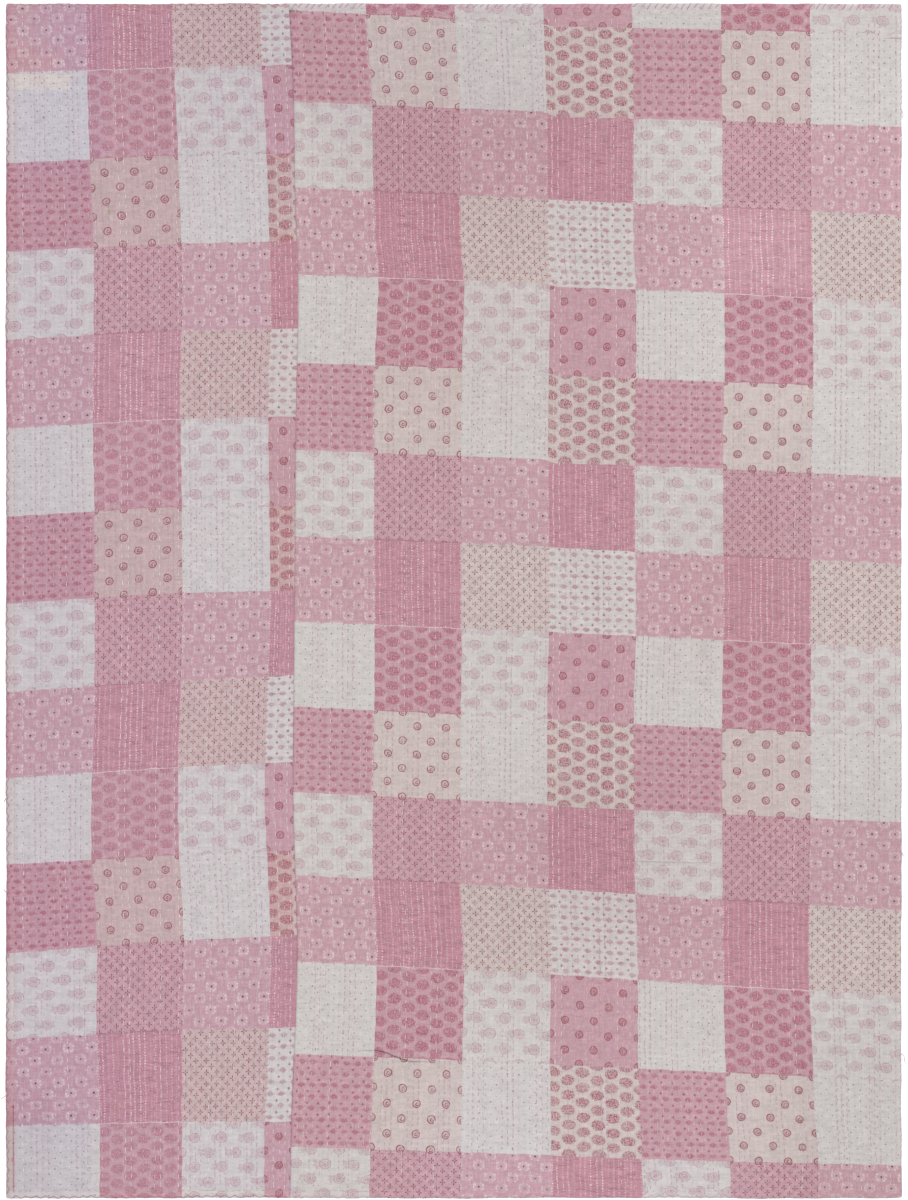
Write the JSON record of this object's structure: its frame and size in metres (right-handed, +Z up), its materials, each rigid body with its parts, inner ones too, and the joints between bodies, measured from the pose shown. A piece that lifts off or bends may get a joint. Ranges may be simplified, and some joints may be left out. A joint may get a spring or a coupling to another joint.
{
  "type": "quilted patchwork-print cotton throw",
  "caption": "Flat hand-quilted cotton throw in a pink and white patchwork print, joined by one lengthwise seam and hemmed all round.",
  "frame": {"origin": "middle of the throw, on the surface that it lies on", "axes": "+X across the throw towards the wide panel's outer hem, +Y along its length towards the top end, +Z up out of the printed face"},
  "size_m": [1.4998, 2, 0.004],
  "materials": {
    "printed_cotton": "matt block-printed cotton, softly puckered by running stitches",
    "rose_thread": "matt spun cotton thread, dusty rose",
    "white_thread": "matt spun cotton thread, off-white"
  },
  "bodies": {
    "root": {"left_panel": "printed_cotton", "right_panel": "printed_cotton"}
  },
  "joints": []
}
